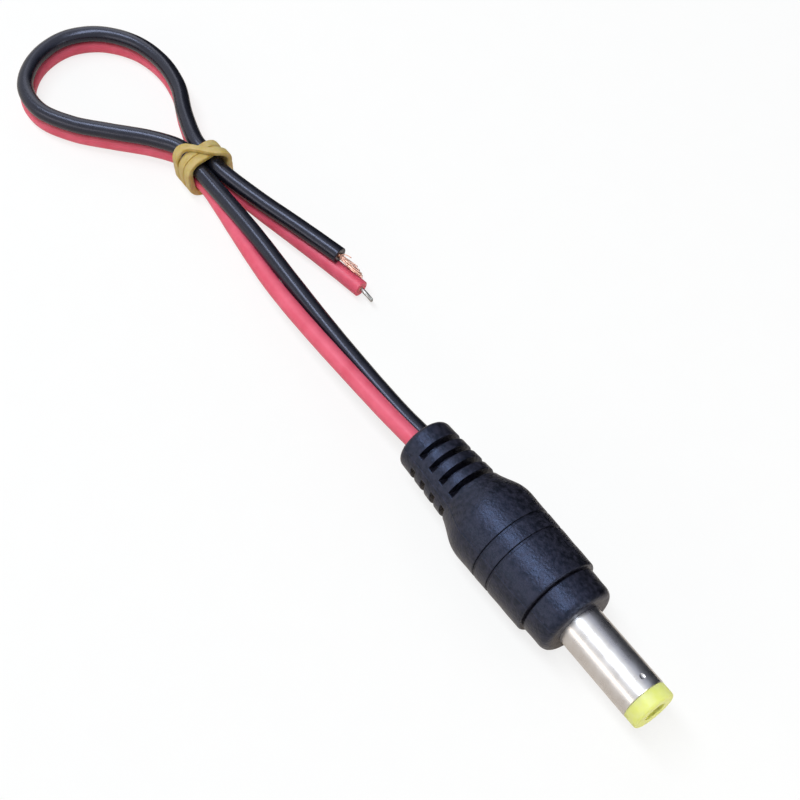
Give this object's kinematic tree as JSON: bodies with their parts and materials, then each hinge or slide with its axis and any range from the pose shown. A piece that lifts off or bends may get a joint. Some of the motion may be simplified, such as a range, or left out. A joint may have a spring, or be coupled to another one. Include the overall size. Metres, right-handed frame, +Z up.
{
  "type": "dc power pigtail",
  "caption": "Moulded coaxial DC power plug with a slotted strain relief on a red and black twin lead, folded in a loop under a rubber band and ending in bare wires.",
  "frame": {"origin": "on the floor under the middle of the plug, from the boot's cord end to the barrel's tip", "axes": "+X along the barrel, out of its mouth; +Z up from the floor the plug and cord lie on; the cord runs off along -X"},
  "size_m": [0.1245, 0.0216, 0.011],
  "materials": {
    "black_pvc": "matt moulded PVC",
    "inner_plastic": "natural polyethylene",
    "nickel_plate": "bright nickel plate",
    "yellow_plastic": "satin moulded plastic",
    "contact_brass": "plated spring brass",
    "insulator_plastic": "matt moulded plastic",
    "terminal_brass": "tinned brass stamping",
    "solder": "dull solder",
    "copper": "stranded copper",
    "red_pvc": "satin PVC insulation",
    "black_lead_pvc": "satin PVC insulation",
    "tinned_wire": "tinned copper",
    "copper_strands": "bright bare copper",
    "band_rubber": "natural rubber"
  },
  "bodies": {
    "root": {"overmould": "black_pvc", "inner_mould": "inner_plastic", "barrel_sleeve": "nickel_plate", "tip_insulator": "yellow_plastic", "centre_contact": "contact_brass", "rear_insulator": "insulator_plastic", "sleeve_terminal": "terminal_brass", "centre_solder": "solder", "sleeve_solder": "solder", "red_conductor": "copper", "black_conductor": "copper", "red_lead": "red_pvc", "black_lead": "black_lead_pvc", "red_tinned_end": "tinned_wire", "black_strands": "copper_strands", "rubber_band": "band_rubber"}
  },
  "joints": []
}
